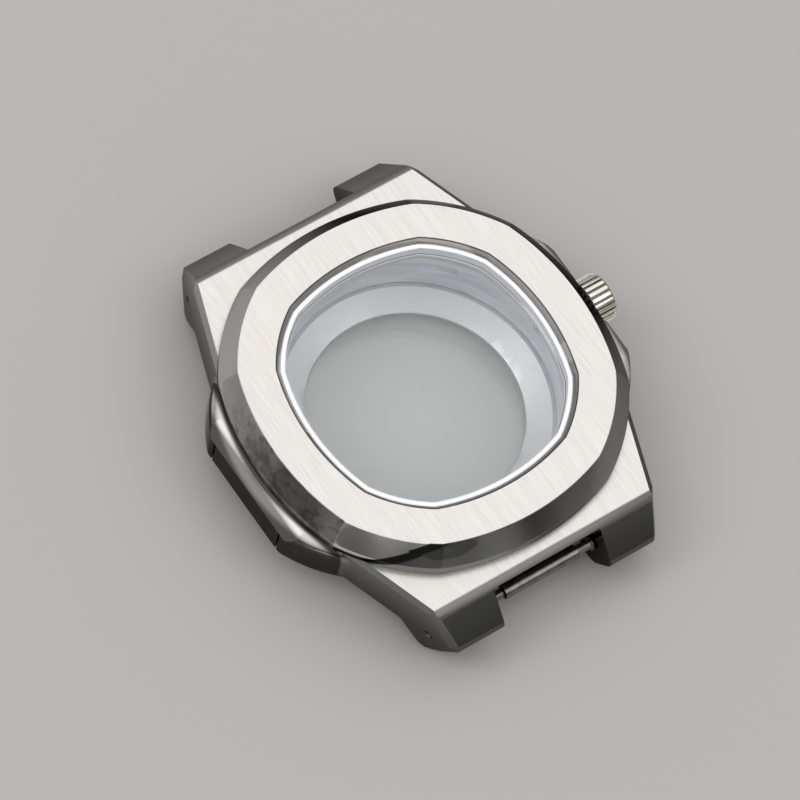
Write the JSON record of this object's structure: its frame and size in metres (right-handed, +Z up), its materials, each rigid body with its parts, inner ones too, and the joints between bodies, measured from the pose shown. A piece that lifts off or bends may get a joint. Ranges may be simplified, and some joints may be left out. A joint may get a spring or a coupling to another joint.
{
  "type": "empty watch case",
  "caption": "Steel watch case with octagonal bezel, flat crystal, eared middle, sprung strap bars, pull-out crown and screwed see-through back.",
  "frame": {"origin": "on the case's axis, at the lowest face of the screwed back", "axes": "+Z up through the crystal, +X towards the crown at 3 o'clock, +Y towards 12 o'clock"},
  "size_m": [0.0421, 0.0476, 0.0108],
  "materials": {
    "case_steel": "tops brushed along the case, ears and bevels polished",
    "bezel_steel": "top brushed along the case, slope polished to a mirror",
    "crown_steel": "polished, fluted rim",
    "turned_steel": "turned",
    "back_steel": "polished with a brushed flat",
    "spring_steel": "drawn wire",
    "sapphire": "polished, clear",
    "mineral_glass": "polished, clear",
    "white_nylon": "smooth",
    "milky_plastic": "satin, moulded",
    "black_seal": "matte, moulded"
  },
  "bodies": {
    "case": {"mid_case": "case_steel", "bezel": "bezel_steel", "bezel_gasket": "black_seal", "crystal": "sapphire", "crystal_gasket": "white_nylon", "movement_ring": "milky_plastic", "crown_tube": "turned_steel"},
    "crown_seal": {"crown_gasket": "black_seal", "crown_washer": "turned_steel"},
    "crown_knob": {"crown": "crown_steel"},
    "back_seal": {"caseback_gasket": "black_seal"},
    "back_screw": {"caseback_window_gasket": "black_seal"},
    "back": {"caseback_ring": "back_steel", "caseback_glass": "mineral_glass"},
    "bar_12": {"bar_12_tube": "turned_steel", "bar_12_spring": "spring_steel"},
    "bar_12_left": {"bar_12_pin_left": "turned_steel"},
    "bar_12_right": {"bar_12_pin_right": "turned_steel"},
    "bar_6": {"bar_6_tube": "turned_steel", "bar_6_spring": "spring_steel"},
    "bar_6_left": {"bar_6_pin_left": "turned_steel"},
    "bar_6_right": {"bar_6_pin_right": "turned_steel"}
  },
  "joints": [
    {"name": "crown_pull", "type": "slide", "parent": "case", "child": "crown_seal", "axis": [1, 0, 0], "range_m": [0, 0.001]},
    {"name": "crown_spin", "type": "hinge", "parent": "crown_seal", "child": "crown_knob", "pos_m": [0.02, 0, 0.0058], "axis": [1, 0, 0], "continuous": true},
    {"name": "back_lift", "type": "slide", "parent": "case", "child": "back_seal", "axis": [0, 0, -1], "range_m": [0, 0.014]},
    {"name": "back_thread", "type": "slide", "parent": "back_seal", "child": "back_screw", "axis": [0, 0, -1], "range_m": [0, 0.002]},
    {"name": "back_turn", "type": "hinge", "parent": "back_screw", "child": "back", "pos_m": [0, 0, 0.002], "axis": [0, 0, -1], "range_deg": [0, 1440]},
    {"name": "bar_12_spin", "type": "hinge", "parent": "case", "child": "bar_12", "pos_m": [0, 0.02075, 0.00375], "axis": [1, 0, 0], "continuous": true},
    {"name": "bar_12_left_pin", "type": "slide", "parent": "bar_12", "child": "bar_12_left", "axis": [1, 0, 0], "range_m": [0, 0.0015], "stiffness_N_per_m": 600, "springref_m": -0.001, "deforming": ["bar_12_spring"]},
    {"name": "bar_12_right_pin", "type": "slide", "parent": "bar_12", "child": "bar_12_right", "axis": [-1, 0, 0], "range_m": [0, 0.0015], "stiffness_N_per_m": 600, "springref_m": -0.001, "deforming": ["bar_12_spring"]},
    {"name": "bar_6_spin", "type": "hinge", "parent": "case", "child": "bar_6", "pos_m": [0, -0.02075, 0.00375], "axis": [1, 0, 0], "continuous": true},
    {"name": "bar_6_left_pin", "type": "slide", "parent": "bar_6", "child": "bar_6_left", "axis": [1, 0, 0], "range_m": [0, 0.0015], "stiffness_N_per_m": 600, "springref_m": -0.001, "deforming": ["bar_6_spring"]},
    {"name": "bar_6_right_pin", "type": "slide", "parent": "bar_6", "child": "bar_6_right", "axis": [-1, 0, 0], "range_m": [0, 0.0015], "stiffness_N_per_m": 600, "springref_m": -0.001, "deforming": ["bar_6_spring"]}
  ],
  "couplings": [
    {"joint": "back_thread", "follows": "back_turn", "m_per_rad": 0.000079577}
  ]
}
